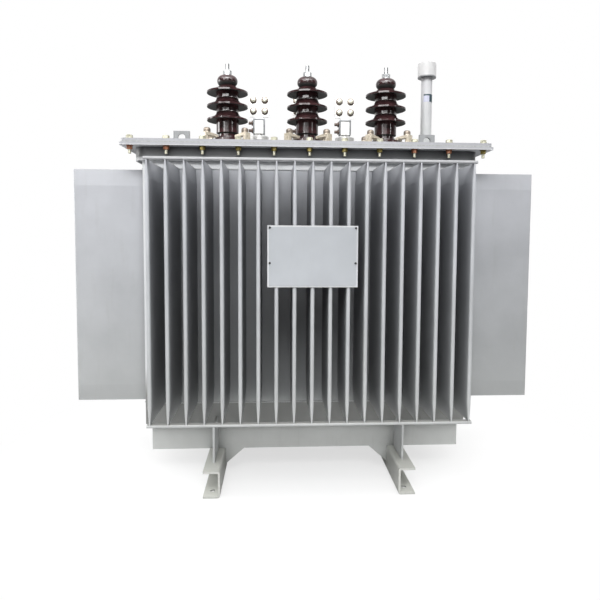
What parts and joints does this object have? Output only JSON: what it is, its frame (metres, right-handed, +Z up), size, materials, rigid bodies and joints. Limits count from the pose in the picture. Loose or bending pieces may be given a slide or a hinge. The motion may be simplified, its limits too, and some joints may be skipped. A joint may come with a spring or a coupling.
{
  "type": "oil-immersed distribution transformer",
  "caption": "Oil-filled power transformer with a corrugated fin tank, bolted cover, shed insulators, flag terminals, oil filler and skids.",
  "frame": {"origin": "ground level under the middle of the tank, midway between the skids", "axes": "+X along the tank's length, to the right as seen from the high-voltage side; +Y from the nameplate side to the back; +Z up"},
  "size_m": [1.46, 0.859, 1.338],
  "materials": {
    "grey_enamel": "light grey machine enamel, semi-gloss",
    "plate_enamel": "satin, blank",
    "cap_enamel": "white enamel",
    "gasket_rubber": "matte oil-resistant rubber",
    "brown_porcelain": "glossy brown glaze",
    "plated_steel": "plated steel",
    "yellow_zinc": "yellow passivated zinc",
    "tinned_copper": "tinned"
  },
  "bodies": {
    "root": {"back_bottom_bar": "grey_enamel", "back_fins": "grey_enamel", "back_gussets": "grey_enamel", "back_stiffeners": "grey_enamel", "back_top_bar": "grey_enamel", "base_box": "grey_enamel", "cover_gasket": "gasket_rubber", "filler_cap": "cap_enamel", "filler_pipe": "grey_enamel", "front_bottom_bar": "grey_enamel", "front_fins": "grey_enamel", "front_gussets": "grey_enamel", "front_stiffeners": "grey_enamel", "front_top_bar": "grey_enamel", "hv_bushing_1": "brown_porcelain", "hv_bushing_2": "brown_porcelain", "hv_bushing_3": "brown_porcelain", "hv_clamps_1": "yellow_zinc", "hv_clamps_2": "yellow_zinc", "hv_clamps_3": "yellow_zinc", "hv_stud_1": "plated_steel", "hv_stud_2": "plated_steel", "hv_stud_3": "plated_steel", "left_back_lug": "grey_enamel", "left_fins": "grey_enamel", "left_front_lug": "grey_enamel", "left_skid": "grey_enamel", "lv_bushing_1": "brown_porcelain", "lv_bushing_2": "brown_porcelain", "lv_bushing_3": "brown_porcelain", "lv_bushing_4": "brown_porcelain", "lv_palm_1": "tinned_copper", "lv_palm_2": "tinned_copper", "lv_palm_3": "tinned_copper", "lv_palm_4": "tinned_copper", "nameplate": "plate_enamel", "nameplate_bracket": "grey_enamel", "right_back_lug": "grey_enamel", "right_fins": "grey_enamel", "right_front_lug": "grey_enamel", "right_skid": "grey_enamel", "tank_body": "grey_enamel", "tank_cover": "grey_enamel", "tank_flange": "grey_enamel", "tank_neck": "grey_enamel"}
  },
  "joints": []
}
